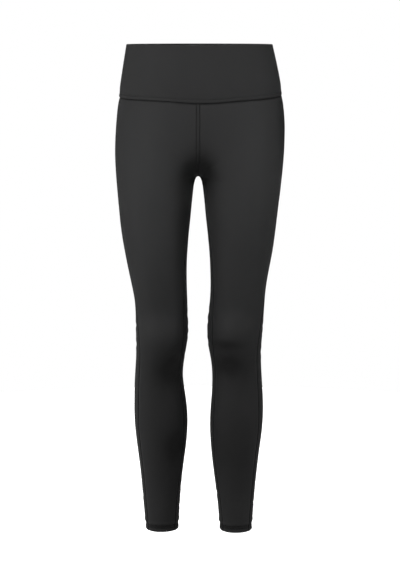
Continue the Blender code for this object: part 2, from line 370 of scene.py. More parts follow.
# %% Height of the waist seam
WaistLine = namedtuple("WaistLine", "bend power")
WAIST_LINES = {
    ("front", "left"): WaistLine(0.07, 1.2),
    ("front", "right"): WaistLine(0.80, 1.05),
    ("back", "left"): WaistLine(0.30, 1.5),
    ("back", "right"): WaistLine(0.30, 1.5),
}


def waist_seam_z(face, side, shares):
    """Height of the waist seam, at a share of the way from the centre to the side."""
    line = WAIST_LINES[face, side]
    dip = BAND_CENTRE_Z[face] - BAND_SIDE_Z[side]
    from_centre = (np.hypot(shares, line.bend) - line.bend) / (math.hypot(1, line.bend) - line.bend)
    return BAND_SIDE_Z[side] + dip * (1 - from_centre) ** line.power


for side in OUTWARD:
    halfway = waist_seam_z("front", side, 0.5)
    print("waist seam halfway to the", side, "side:", round(1000 * halfway, 1), "mm")

# %% Rows of a panel
WAIST_ROWS = np.array([-3.0, -1.5, 0, 0.5, 1.0, 1.6, 2.4, 3.6, 5.5, 8.0]) / 1000
HEM_ROWS = (
    [29, 26, 24, 22, 20.5, 19.5, 19, 18.2, 17, 16, 15]
    + [14.3, 13.8, 13.5, 13.1, 12.4, 11.5, 10.5, 9.5]
    + [8.8, 8.3, 8, 7.6, 7, 6, 5, 4, 3, 2.2, 1.5, 1.0, 0.6, 0.3, 0.1, 0]
)
HEM_ROWS = np.array(HEM_ROWS) / 1000
TORSO_ROWS = 38
LEG_ROWS = 204
LEG_CROWDING = 0.08


def slow_start(done):
    """A share of the way down the leg that starts slowly, so that rows crowd below the crotch."""
    return done - LEG_CROWDING * (1 - math.exp(-done / LEG_CROWDING))


def panel_heights(face, side):
    rows = [waist_seam_z(face, side, SHARES) - drop for drop in WAIST_ROWS]
    fan_top = rows[-1]
    for row in range(1, TORSO_ROWS):
        above = 1 - row / TORSO_ROWS
        rows.append(CROTCH_Z + (fan_top - CROTCH_Z) * (above**2 * (1 - SHARES) + above * SHARES))
    leg_end = HEM_Z + HEM_ROWS[0]
    for row in range(LEG_ROWS):
        done = row / LEG_ROWS
        eased = slow_start(done) / slow_start(1)
        rows.append(CROTCH_Z + (leg_end - CROTCH_Z) * (eased * (1 - SHARES) + done * SHARES))
    rows += [np.full(SHARES.shape, HEM_Z + up) for up in HEM_ROWS]
    return np.array(rows)


print("rows in a panel:", len(panel_heights("front", "left")))

# %% [markdown]
# ## Swells
#
# Everything that stands out of the plain form, or sinks into it, is a height in metres at each
# point of the grid. The parts are worked out apart and added up, so each can be tuned by itself.
#
# Swells come first. They are the broad forms under the cloth, such as a knee and the hollow below
# it. Moving them by sculpting would be quicker, but a row in a table says what each one is, where
# it sits and how high it stands.

# %% Swells: centre, reach across and down, and height out
Bell = namedtuple("Bell", "side x z across down height")
SWELLS = {"back": ()}  # the level lines alone form the seat and the calves
SWELLS["front"] = (
    # The knees, and the hollows below them
    Bell("left", 0.068, -0.550, 0.036, 0.028, 0.0080),
    Bell("left", 0.048, -0.622, 0.030, 0.032, -0.0085),
    Bell("right", 0.074, -0.546, 0.030, 0.028, 0.0080),
    Bell("right", 0.064, -0.618, 0.032, 0.032, -0.0080),
    # Where the thighs meet, under the body
    Bell("left", 0.012, -0.243, 0.020, 0.020, -0.0050),
    Bell("right", 0.012, -0.243, 0.020, 0.020, -0.0050),
    # Along the inside of the calves
    Bell("left", 0.040, -0.722, 0.020, 0.030, 0.0025),
    Bell("left", 0.046, -0.808, 0.018, 0.040, -0.0045),
    Bell("right", 0.044, -0.722, 0.020, 0.030, 0.0015),
    Bell("right", 0.060, -0.800, 0.024, 0.036, -0.0025),
)


def bell(distance, reach):
    return np.exp(-((distance / reach) ** 2))


def heap(table, side, face, grid):
    """The sum of a table's bells over one panel."""
    height = np.zeros(grid.shape[:2])
    for row in table[face]:
        if row.side == side:
            from_middle = OUTWARD[side] * (grid[..., 0] - MIDDLE_X)
            level = bell(grid[..., 2] - row.z, row.down)
            height += row.height * bell(from_middle - row.x, row.across) * level
    return height


print("swells:", len(SWELLS["front"]))

# %% [markdown]
# ## Where the knit is stretched, and painted light and shade
#
# A black knit shows its form by more than light and shade. Pulled tight over a knee it opens, and
# looks lighter. Where it is slack, as below the knee or between the thighs, its loops close up and
# it looks darker. The bells here are only partly that: most of them are painted light and painted
# shade. The light on the thigh fronts and above the ankles, and the shade below the knees, where the
# thighs meet, on the inner calves and at the right hip's edge, are painted into the colour. The same
# kind of table gives that tone: 0.5 is evenly stretched cloth, and each row raises or lowers it. The
# panels keep it as an attribute, so it stays with the cloth from every side, painted light included.

# %% Stretch and painted light and shade in front: centre, reach across and down, and how much more or less than even
EVEN_STRETCH = 0.5
STRETCH_LIMITS = (-0.25, 1.3)
STRETCH_AND_PAINTED_SHADING = {}
STRETCH_AND_PAINTED_SHADING["front"] = (
    # The thighs: painted light on their fronts, painted shade on the inner left thigh and at the right hip's
    # edge
    Bell("left", 0.086, -0.300, 0.044, 0.140, 0.44),
    Bell("right", 0.104, -0.240, 0.044, 0.150, 0.32),
    Bell("right", 0.090, -0.460, 0.030, 0.060, 0.12),
    Bell("left", 0.027, -0.345, 0.015, 0.075, -0.32),
    Bell("right", 0.163, -0.155, 0.011, 0.064, -0.66),
    # The knees, lighter where stretched and with painted light, and painted shade below them, where the
    # cloth is slack
    Bell("left", 0.074, -0.540, 0.034, 0.024, 0.54),
    Bell("left", 0.030, -0.545, 0.014, 0.040, -0.24),
    Bell("left", 0.034, -0.584, 0.024, 0.018, -0.26),
    Bell("left", 0.050, -0.630, 0.036, 0.036, -0.92),
    Bell("right", 0.076, -0.532, 0.026, 0.022, 0.62),
    Bell("right", 0.054, -0.577, 0.030, 0.011, -0.66),
    Bell("right", 0.060, -0.620, 0.036, 0.027, -0.84),
    # Painted shade where the thighs meet
    Bell("left", 0.006, -0.236, 0.024, 0.034, -0.74),
    Bell("right", 0.006, -0.236, 0.027, 0.040, -0.88),
    Bell("right", 0.004, -0.230, 0.011, 0.014, -0.34),
    # The calves: painted shade on the inner sides, and painted light on the right calf
    Bell("left", 0.034, -0.700, 0.022, 0.040, -0.28),
    Bell("left", 0.044, -0.784, 0.026, 0.040, -0.80),
    Bell("left", 0.046, -0.870, 0.022, 0.050, -0.34),
    Bell("left", 0.050, -0.940, 0.016, 0.036, -0.30),
    Bell("right", 0.092, -0.700, 0.028, 0.040, 0.22),
    Bell("right", 0.058, -0.800, 0.040, 0.046, -0.22),
    # Painted light above the ankles
    Bell("left", 0.078, -0.910, 0.024, 0.050, 0.26),
    Bell("right", 0.088, -0.925, 0.026, 0.050, 0.46),
)
print("stretched and slack places in front:", len(STRETCH_AND_PAINTED_SHADING["front"]))

# %% Stretch and painted light and shade behind
STRETCH_AND_PAINTED_SHADING["back"] = (
    # Painted shade on the inner left thigh and at the right hip's edge
    Bell("left", 0.024, -0.345, 0.012, 0.075, -0.30),
    Bell("right", 0.161, -0.155, 0.013, 0.064, -0.60),
    # Painted shade on the inner side of the knees and below them, where the cloth is slack
    Bell("left", 0.026, -0.545, 0.012, 0.040, -0.24),
    Bell("left", 0.030, -0.620, 0.014, 0.044, -0.60),
    Bell("right", 0.026, -0.600, 0.010, 0.040, -0.34),
    # Painted shade on the inner side of the left calf
    Bell("left", 0.026, -0.700, 0.014, 0.044, -0.34),
    Bell("left", 0.030, -0.780, 0.014, 0.044, -0.55),
    # The seat and the calves behind, stretched and lighter; under the seat and behind the knees, slack and
    # darker with painted shade
    Bell("left", 0.085, -0.195, 0.050, 0.060, 0.16),
    Bell("right", 0.085, -0.195, 0.050, 0.060, 0.16),
    Bell("left", 0.060, -0.285, 0.070, 0.020, -0.20),
    Bell("right", 0.060, -0.288, 0.070, 0.020, -0.20),
    Bell("left", 0.080, -0.565, 0.050, 0.034, -0.24),
    Bell("right", 0.080, -0.562, 0.050, 0.034, -0.24),
    Bell("left", 0.074, -0.710, 0.030, 0.060, 0.14),
    Bell("right", 0.074, -0.712, 0.030, 0.060, 0.14),
)
print("and behind:", len(STRETCH_AND_PAINTED_SHADING["back"]))

# %% [markdown]
# ## Creases
#
# A crease forms where there is more cloth than the form needs: behind the knee, under the seat,
# above the ankle, and where the panels are eased into the band. In a firm knit it is a soft trough
# with a low shoulder on each side, and it fades out at both ends. Simulated cloth would make such
# folds too, but skin-tight cloth has nowhere to move, so the creases are drawn one by one. No two
# have the same length, depth or spacing, and each leg has its own. There is a table for the front
# and one for the back.

# %% Creases in front: from one share of the width and height to another, with bow, reach and height out
Crease = namedtuple("Crease", "side share z end_share end_z bow reach height")
CREASES = {}
CREASES["front"] = (
    # Under the waist seam, where the panels are eased into the band
    Crease("left", 0.00, -0.1185, 0.11, -0.1175, 0.000, 0.0022, -0.0007),
    Crease("right", 0.00, -0.1185, 0.09, -0.1180, 0.000, 0.0020, -0.0006),
    Crease("left", 0.02, -0.1265, 0.08, -0.1270, 0.001, 0.0022, -0.0004),
    Crease("right", 0.00, -0.1270, 0.12, -0.1260, 0.001, 0.0026, -0.0005),
    Crease("right", 0.84, -0.1135, 0.93, -0.1165, 0.000, 0.0018, -0.0006),
    Crease("right", 0.88, -0.1190, 0.96, -0.1225, 0.001, 0.0020, -0.0005),
    # Drawn out from the crotch
    Crease("left", 0.03, -0.236, 0.42, -0.200, 0.004, 0.0060, -0.0008),
    Crease("right", 0.03, -0.238, 0.36, -0.206, 0.004, 0.0060, -0.0008),
    Crease("left", 0.04, -0.262, 0.34, -0.262, -0.004, 0.0055, -0.0006),
    Crease("right", 0.04, -0.266, 0.40, -0.258, -0.004, 0.0060, -0.0007),
    # Below the knees in front
    Crease("left", 0.02, -0.566, 0.28, -0.590, -0.003, 0.0034, -0.0009),
    Crease("left", 0.00, -0.588, 0.20, -0.604, -0.002, 0.0030, -0.0008),
    Crease("left", 0.04, -0.612, 0.26, -0.622, -0.002, 0.0034, -0.0006),
    Crease("right", 0.02, -0.580, 0.44, -0.588, -0.006, 0.0042, -0.0008),
    Crease("right", 0.04, -0.600, 0.34, -0.608, -0.004, 0.0040, -0.0006),
    Crease("right", 0.50, -0.602, 0.96, -0.590, -0.004, 0.0050, -0.0004),
    # Along the calves and round the ankles
    Crease("left", 0.06, -0.752, 0.30, -0.772, -0.003, 0.0060, -0.0008),
    Crease("left", 0.04, -0.806, 0.26, -0.820, -0.002, 0.0050, -0.0006),
    Crease("left", 0.10, -0.908, 0.82, -0.904, -0.002, 0.0046, -0.0005),
    Crease("right", 0.14, -0.896, 0.90, -0.900, -0.002, 0.0046, -0.0005),
    Crease("right", 0.05, -0.748, 0.24, -0.762, -0.002, 0.0060, -0.0005),
)
print("creases in front:", len(CREASES["front"]))

# %% Creases behind
CREASES["back"] = (
    # Under the waist seam, where the panels are eased into the band
    Crease("left", 0.05, -0.1160, 0.30, -0.1150, 0.001, 0.0030, -0.0005),
    Crease("right", 0.02, -0.1185, 0.22, -0.1170, 0.001, 0.0028, -0.0005),
    # Under the seat
    Crease("left", 0.13, -0.266, 0.64, -0.292, -0.010, 0.0080, -0.0018),
    Crease("right", 0.12, -0.268, 0.60, -0.296, -0.010, 0.0080, -0.0017),
    Crease("left", 0.08, -0.282, 0.40, -0.306, -0.004, 0.0060, -0.0010),
    Crease("right", 0.06, -0.284, 0.46, -0.312, -0.005, 0.0060, -0.0012),
    # Behind the knees
    Crease("left", 0.09, -0.528, 0.88, -0.536, -0.006, 0.0050, -0.0013),
    Crease("left", 0.10, -0.551, 0.96, -0.547, -0.005, 0.0044, -0.0019),
    Crease("left", 0.08, -0.566, 0.74, -0.573, -0.004, 0.0040, -0.0015),
    Crease("left", 0.22, -0.588, 0.94, -0.582, 0.004, 0.0046, -0.0016),
    Crease("left", 0.10, -0.603, 0.58, -0.611, 0.004, 0.0042, -0.0009),
    Crease("right", 0.08, -0.522, 0.72, -0.530, -0.005, 0.0050, -0.0010),
    Crease("right", 0.08, -0.541, 0.94, -0.549, -0.007, 0.0046, -0.0018),
    Crease("right", 0.14, -0.565, 0.90, -0.561, -0.004, 0.0040, -0.0017),
    Crease("right", 0.09, -0.577, 0.66, -0.586, 0.003, 0.0044, -0.0014),
    Crease("right", 0.30, -0.604, 0.97, -0.597, 0.004, 0.0048, -0.0011),
    # Along the calves and round the ankles
    Crease("left", 0.06, -0.872, 0.84, -0.880, 0.004, 0.0050, -0.0010),
    Crease("left", 0.20, -0.893, 0.95, -0.890, 0.003, 0.0042, -0.0013),
    Crease("left", 0.05, -0.912, 0.66, -0.917, 0.003, 0.0040, -0.0010),
    Crease("right", 0.10, -0.865, 0.90, -0.869, 0.004, 0.0050, -0.0009),
    Crease("right", 0.04, -0.885, 0.74, -0.892, 0.003, 0.0044, -0.0013),
    Crease("right", 0.26, -0.908, 0.96, -0.905, 0.003, 0.0040, -0.0011),
)
print("and behind:", len(CREASES["back"]))

# %% The form of a crease
CREASE_END = 0.75
SHOULDER_SHARE = 0.40
SHOULDER_AT = 1.9


def crease_relief(crease, shares, z, width):
    """A soft trough that fades at its ends, with a low shoulder on each side."""
    level = int(np.argmin(np.abs(z[:, z.shape[1] // 2] - (crease.z + crease.end_z) / 2)))
    usual = width[level].mean()
    across, down = shares * usual, z
    run = np.array([(crease.end_share - crease.share) * usual, crease.end_z - crease.z])
    length = np.hypot(*run)
    along = ((across - crease.share * usual) * run[0] + (down - crease.z) * run[1]) / length**2
    off = ((across - crease.share * usual) * run[1] - (down - crease.z) * run[0]) / length
    along = np.clip(along, 0, 1)
    arch = 4 * along * (1 - along)
    off = np.abs(off - crease.bow * arch)
    shoulder = SHOULDER_SHARE * bell(off - SHOULDER_AT * crease.reach, crease.reach)
    return crease.height * arch**CREASE_END * (bell(off, crease.reach) - shoulder)


print("a crease's shoulders stand", SHOULDER_SHARE, "of its depth")

# %% [markdown]
# ## Fullness and slow unevenness
#
# Cloth never follows a smooth form quite exactly. A table says how much fuller the garment is at
# each height, by up to 1.3 mm at the calves. Over that lie slow waves a fifth of a millimetre high.
# They are sums of sines whose periods have no common measure, so they never repeat along the cloth,
# and they come out the same in every run.

# %% How far the cloth stands out from the plain form, at each height
Fullness = namedtuple("Fullness", "z out")
FULLNESS = (
    Fullness(0.000, -0.0004),
    Fullness(-0.060, -0.0002),
    Fullness(-0.105, 0.0008),
    Fullness(-0.200, 0.0006),
    Fullness(-0.300, 0.0001),
    Fullness(-0.450, 0.0000),
    Fullness(-0.600, 0.0003),
    Fullness(-0.700, 0.0010),
    Fullness(-0.800, 0.0013),
    Fullness(-0.900, 0.0012),
    Fullness(-0.9585, 0.0009),
)
FULL = column(FULLNESS, "out")
print("full by", [round(1000 * row.out, 1) for row in FULLNESS], "mm from waist to hem")

# %% Slow unevenness of the cloth
Wave = namedtuple("Wave", "height pace lag")
WAVES = (Wave(1.0, 1.0, 1.0), Wave(0.6, 0.618, 2.1), Wave(0.4, 1.73, 0.7))
SLACK_HEIGHT = 0.00022
SLACK_ACROSS = 0.055
SLACK_DOWN = 0.075


def uneven(along, period, turn):
    """A few sines that never fall into step, added up to between -1 and 1."""
    angle = 2 * math.pi * along / period
    return sum(wave.height * np.sin(wave.pace * angle + wave.lag * turn) for wave in WAVES) / 2


def slack(place, z, turn):
    """The knit never lies quite even: broad, shallow waves."""
    return SLACK_HEIGHT * uneven(place, SLACK_ACROSS, turn) * uneven(z, SLACK_DOWN, 2 * turn)


print("slow waves up to", round(1000 * SLACK_HEIGHT, 2), "mm high")

# %% [markdown]
# ## Sewing
#
# The long seams are flat: the two edges butt, and a machine with two needles 5.6 mm apart covers
# the join. That leaves a low ridge between two needle rows, with the cloth pulled in along each.
# The waist seam is a fold, with the band standing over the panels. The hem is turned up 19 mm and
# held by two rows of its own. A bump texture would do from far away, but these forms show on the
# outline of the leg, so they are in the mesh.

# %% Flat seams
NEEDLE_AT = SEAM_COLUMNS[STITCH_COLUMN]
NEEDLE_DEPTH = 0.00072
NEEDLE_REACH = 0.00080
RIDGE_HEIGHT = 0.00062
RIDGE_EDGE = 0.00020
JOIN_DEPTH = 0.00022
JOIN_REACH = 0.00045
PUCKER_HEIGHT = 0.00010
PUCKER_PERIOD = 0.011
PUCKER_REACH = 0.0075
ALLOWANCE = 0.0050
ALLOWANCE_HEIGHT = 0.0006
LARGEST_POWER = 500  # keeps the exponential within what a number can hold


def soft_step(height, beyond, reach):
    """This height before an edge and none beyond it, with a soft change over this reach."""
    return height / (1 + np.exp(np.minimum(beyond / reach, LARGEST_POWER)))


def flat_seam(distance, along, turn):
    """Relief of a covered flat seam, at a distance from its centre line."""
    ridge = soft_step(RIDGE_HEIGHT, distance - NEEDLE_AT + 2 * RIDGE_EDGE, RIDGE_EDGE)
    grooves = NEEDLE_DEPTH * bell(distance - NEEDLE_AT, NEEDLE_REACH)
    grooves = grooves + JOIN_DEPTH * bell(distance, JOIN_REACH)
    pucker = PUCKER_HEIGHT * uneven(along, PUCKER_PERIOD, turn) * bell(distance - NEEDLE_AT, PUCKER_REACH)
    return ridge - grooves + pucker


def allowance(distance):
    """How much thicker the cloth is inside, where a seam's edges are overlocked."""
    return soft_step(ALLOWANCE_HEIGHT, distance - ALLOWANCE, 2 * RIDGE_EDGE)


print("needle rows of a flat seam:", round(2000 * NEEDLE_AT, 1), "mm apart")

# %% The hem
HEM_NEEDLES = (0.0135, 0.0080)
HEM_DROP = {"left": 0.0010, "right": 0.0028}  # how much lower each hem hangs than its solid
HEM_DROP_FROM = 0.060
HEM_PUFF = 0.0007
HEM_PUFF_AT = 0.0185
HEM_PUFF_REACH = 0.0030
HEM_HOLLOW = 0.0009
HEM_HOLLOW_AT = 0.0105
HEM_HOLLOW_REACH = 0.0042
HEM_FULL_EDGE = 0.0004
HEM_EDGE_REACH = 0.003
HEM_PUCKER_REACH = 0.007


def hem_form(up):
    """The turned-up end: a puff above the needle rows, a hollow at them, and a full lower edge."""
    puff = HEM_PUFF * bell(up - HEM_PUFF_AT, HEM_PUFF_REACH)
    hollow = HEM_HOLLOW * bell(up - HEM_HOLLOW_AT, HEM_HOLLOW_REACH)
    return puff - hollow + HEM_FULL_EDGE * bell(up, HEM_EDGE_REACH)


def hem_relief(up, along, turn):
    """The needle rows themselves, and the fine puckers along them."""
    height = 0.0
    for needle in HEM_NEEDLES:
        height -= NEEDLE_DEPTH * bell(up - needle, NEEDLE_REACH)
    pucker = PUCKER_HEIGHT * uneven(along, PUCKER_PERIOD, turn)
    return height + pucker * bell(up - HEM_NEEDLES[0], HEM_PUCKER_REACH)


def rounding(inside_edge, radius):
    """How far a folded edge curves back, at a distance from the fold."""
    short = np.clip(radius - inside_edge, 0, radius)
    return radius - np.sqrt(radius**2 - short**2)


print("turned up:", round(1000 * HEM_DEPTH), "mm, with", len(HEM_NEEDLES), "needle rows")

# %% The waist seam's pull
WAIST_VALLEY = 0.0011
WAIST_VALLEY_BELOW = 0.010
WAIST_VALLEY_ABOVE = 0.012
WAIST_TUCK = 0.0017  # the panels' tops go in behind the band
WAIST_TUCK_REACH = 0.0017


def waist_valley(below):
    """The waist seam draws the cloth in, so that it lies in a shallow valley all round."""
    return -WAIST_VALLEY * bell(below, np.where(below >= 0, WAIST_VALLEY_BELOW, WAIST_VALLEY_ABOVE))


def waist_tuck(below):
    return WAIST_TUCK * bell(np.maximum(below, 0), WAIST_TUCK_REACH)


print("drawn in at the waist seam:", round(1000 * (WAIST_VALLEY + WAIST_TUCK), 1), "mm")

# %% [markdown]
# ## Painted shade and painted highlights along the sewing
#
# Shade is painted into the colour along the needle rows and joins, in the hollow of the hem and in
# the groove under the band. Highlights are painted beside the seams of the legs, on their ridges,
# and on the hem's puff and lower edge. Both are numbers on the mesh: shade darkens, and the painted
# highlights add to the stretch tone. The painted shade is stronger on the legs than on the body, and
# weaker on the left half of the waist seam than on the right.

# %% Painted shade along the needle rows, in the hem and under the band
SHADE_REACH = 0.0010
JOIN_SHADE = 0.12
TORSO_SHADE = 1.5
LEG_SHADE = 1.9
DEEPEST_SHADE = 2
HEM_SHADE = 0.80
HEM_SHADE_AT = 0.0112
HEM_SHADE_REACH = 0.0042
WAIST_SHADE = 1.7
WAIST_SHADE_AT = 0.0008
WAIST_SHADE_REACH = 0.0018
WEAKER_ON_LEFT = 0.50
WEAKER_ON_LEFT_FROM = 0.030
LEGS_FROM = -0.30
LEGS_FADE = 0.03


def on_leg(z):
    """1 on the legs and 0 on the body, with a soft change below the crotch."""
    return soft_step(1, z - LEGS_FROM, LEGS_FADE)


def waist_shade(side, place, below_waist):
    """Painted shadow in the groove under the band, weaker on the left half."""
    shadow_strength = 1 - WEAKER_ON_LEFT * (side == "left") * (1 - bell(place, WEAKER_ON_LEFT_FROM))
    return WAIST_SHADE * shadow_strength * bell(below_waist - WAIST_SHADE_AT, WAIST_SHADE_REACH)


print("needle rows are shaded by", TORSO_SHADE, "on the body and by", LEG_SHADE, "on the legs")

# %% Painted highlights beside the seams and on the hem
CATCH_AT = 0.0056
CATCH_REACH = 0.0016
SIDE_HIGHLIGHT = 0.60
INNER_HIGHLIGHT = 0.24
RIDGE_HIGHLIGHT = 0.40
HEM_HIGHLIGHT = 0.20
HEM_CATCH_AT = 0.0190
HEM_CATCH_REACH = 0.0026
HEM_EDGE_CATCH_AT = 0.0045
HEM_EDGE_CATCH_REACH = 0.0024


def painted_seam_highlight(to_inner, to_outer, z):
    """Painted highlight beside the long seams of the legs and on their ridges."""
    beside = SIDE_HIGHLIGHT * bell(to_outer - CATCH_AT, CATCH_REACH)
    beside = beside + INNER_HIGHLIGHT * bell(to_inner - CATCH_AT, CATCH_REACH)
    ridges = bell(to_outer, CATCH_REACH) + bell(to_inner, CATCH_REACH)
    return on_leg(z) * (beside + RIDGE_HIGHLIGHT * ridges)


def painted_hem_highlight(up):
    """Painted highlight on the puff above the hem's needle rows and on the full lower edge."""
    puff = bell(up - HEM_CATCH_AT, HEM_CATCH_REACH)
    return HEM_HIGHLIGHT * (puff + bell(up - HEM_EDGE_CATCH_AT, HEM_EDGE_CATCH_REACH))


print("beside a seam, at", round(1000 * CATCH_AT, 1), "mm, the stretch rises by", SIDE_HIGHLIGHT)

# %% [markdown]
# ## From grids to shells
#
# A shell is a wall with an outer and an inner side. Solidify would give it one thickness all over,
# but the hem and the seam allowances are thicker than plain cloth. So a grid is extruded once,
# which makes the second side and closes the border with it, and each side then takes its own
# points. The grid also carries what the material needs: its place on the cloth in metres, how it
# is sewn, its painted shade, and its stretch with painted light and shade.

# %% A wall of cloth between two grids of points
SHARP_DEGREES = 50


def cloth_shell(name, outer, inner, knit_u, knit_v, marks):
    """A closed piece of cloth. The marks are numbers that its material reads."""
    rows, columns = outer.shape[:2]
    mesh = bmesh.new()
    bmesh.ops.create_grid(mesh, x_segments=columns - 1, y_segments=rows - 1, size=1)
    place = mesh.verts.layers.int.new("place")
    for index, vert in enumerate(mesh.verts):
        vert[place] = index
    extruded = bmesh.ops.extrude_face_region(mesh, geom=mesh.faces[:], use_keep_orig=True)
    moved = {item for item in extruded["geom"] if isinstance(item, bmesh.types.BMVert)}
    inside = np.array([vert in moved for vert in mesh.verts])
    order = np.array([vert[place] for vert in mesh.verts])
    points = np.where(inside[:, None], inner.reshape(-1, 3)[order], outer.reshape(-1, 3)[order])
    for vert, point in zip(mesh.verts, points):
        vert.co = point
    bmesh.ops.recalc_face_normals(mesh, faces=mesh.faces[:])
    if mesh.calc_volume(signed=True) < 0:
        bmesh.ops.reverse_faces(mesh, faces=mesh.faces[:])
    data = bpy.data.meshes.new(name)
    mesh.to_mesh(data)
    mesh.free()
    corners = np.empty(len(data.loops), np.int32)
    data.loops.foreach_get("vertex_index", corners)
    uv = np.stack([knit_u.ravel()[order], knit_v.ravel()[order]], axis=1)[corners]
    data.uv_layers.new(name="knit").data.foreach_set("uv", uv.astype(np.float32).ravel())
    for mark, values in marks.items():
        layer = data.attributes.new(mark, "FLOAT", "POINT")
        layer.data.foreach_set("value", values.ravel()[order].astype(np.float32))
    data.shade_smooth()
    data.set_sharp_from_angle(angle=math.radians(SHARP_DEGREES))
    piece = bpy.data.objects.new(name, data)
    bpy.context.scene.collection.objects.link(piece)
    return piece


def cloth_area(outer):
    """Area of a grid of points, in square metres."""
    first = np.cross(outer[1:, :-1] - outer[:-1, :-1], outer[:-1, 1:] - outer[:-1, :-1])
    second = np.cross(outer[:-1, 1:] - outer[1:, 1:], outer[1:, :-1] - outer[1:, 1:])
    return (np.linalg.norm(first, axis=2) + np.linalg.norm(second, axis=2)).sum() / 2


# %% [markdown]
# ## Thread
#
# A needle row is a line of short stitches, each a bead of thread that lies along the row and dips
# into the cloth at its ends. A line drawn in the material would vanish at the edges of the garment
# and lose its shadow. So every stitch is a small solid with twenty faces, and a row of them follows
# the column or the row of the grid where the needle ran. All the stitches of a panel are one mesh.

# %% Rows of stitches
STITCH_PITCH = 0.0030
STITCH_HALF_LENGTH = 0.00125
STITCH_HALF_WIDTH = 0.00030
STITCH_HALF_HEIGHT = 0.00026
STITCH_PROUD = 0.00008


def sew(mesh, path, out):
    """Adds stitches to a mesh along a path, given the direction out of the cloth at each of its points."""
    steps = np.linalg.norm(np.diff(path, axis=0), axis=1)
    lengths = np.concatenate([[0], np.cumsum(steps)])
    count = int(lengths[-1] / STITCH_PITCH)
    for k in range(count):
        middle = (k + 0.5) * lengths[-1] / count
        ends = middle + np.array([-0.5, 0, 0.5]) * STITCH_PITCH
        spots = np.array([[np.interp(end, lengths, path[:, axis]) for axis in range(3)] for end in ends])
        up = Vector([np.interp(middle, lengths, out[:, axis]) for axis in range(3)]).normalized()
        ahead = Vector(spots[2] - spots[0]).normalized()
        aside = up.cross(ahead).normalized()
        up = ahead.cross(aside)
        turn = Matrix((ahead, aside, up)).transposed().to_4x4()
        size = Matrix.Diagonal((STITCH_HALF_LENGTH, STITCH_HALF_WIDTH, STITCH_HALF_HEIGHT, 1))
        at = Matrix.Translation(Vector(spots[1]) + up * STITCH_PROUD)
        bmesh.ops.create_icosphere(mesh, subdivisions=1, radius=1, matrix=at @ turn @ size)
    return count


def thread_piece(name, rows):
    """One piece of stitching made of several needle rows, each (path, out)."""
    mesh = bmesh.new()
    count = sum(sew(mesh, path, out) for path, out in rows)
    data = bpy.data.meshes.new(name)
    mesh.to_mesh(data)
    mesh.free()
    data.shade_smooth()
    piece = bpy.data.objects.new(name, data)
    bpy.context.scene.collection.objects.link(piece)
    print(name, count, "stitches")
    return piece


# %% [markdown]
# ## The four panels
#
# Front and back differ in how full they are and in their creases, and left and right differ by a
# few millimetres, but all four are made the same way. A record holds where each point of a panel
# lies: its height, how far it is from the two seams, the hem and the waist. The functions after it
# read the form, the sewing, the wall and the tones from that record, and a loop makes the four.

# %% Where the points of a panel lie
Spots = namedtuple("Spots", "side face shares z up below_waist grid to_inner to_outer width turn")
NEXT_TURN = {("front", "left"): 0.4, ("front", "right"): 1.9, ("back", "left"): 3.1, ("back", "right"): 4.6}


def panel_spots(side, face):
    z = panel_heights(face, side)
    below_waist = waist_seam_z(face, side, SHARES) - z
    shares = np.tile(SHARES, (len(z), 1))
    up = z - HEM_Z
    z = z - HEM_DROP[side] * bell(up, HEM_DROP_FROM)
    grid, place, width = lay_out(side, face, shares, z)
    turn = NEXT_TURN[face, side]
    return Spots(side, face, shares, z, up, below_waist, grid, place, width - place, width, turn)


panel_at = {(face, side): panel_spots(side, face) for face in FACING for side in OUTWARD}
for (face, side), at in panel_at.items():
    print(face, side, "panel:", at.z.size, "points,", round(1000 * at.width.max()), "mm at its widest")

# %% The form, the sewing and the wall of a panel
SWELL_FADE = 0.012


def panel_form(at):
    """What the whole wall follows: swells, slack, hem, waist and creases."""
    off_seams = 1 - bell(at.to_inner, SWELL_FADE) - bell(at.to_outer, SWELL_FADE)
    form = heap(SWELLS, at.side, at.face, at.grid) * off_seams + slack(at.to_outer, at.z, at.turn)
    form = form + hem_form(at.up) + FULL(at.z)
    form += waist_valley(at.below_waist) - waist_tuck(at.below_waist)
    for crease in CREASES[at.face]:
        if crease.side == at.side:
            form += crease_relief(crease, at.shares, at.z, at.width)
    return form


def panel_sewing(at):
    """What only the outer side shows: the long seams, and the needle rows of the hem."""
    seams = flat_seam(at.to_inner, at.z, at.turn) + flat_seam(at.to_outer, at.z, at.turn + 1)
    return seams + hem_relief(at.up, at.to_inner, at.turn)


def panel_wall(at):
    """Thickness of the cloth, thicker in the hem and at the seams."""
    wall = WALL + soft_step(HEM_WALL - WALL, at.up - HEM_DEPTH, RIDGE_EDGE)
    return wall + allowance(at.to_inner) + allowance(at.to_outer)


print("wall:", 1000 * WALL, "mm, and", 1000 * HEM_WALL, "mm in the hem")

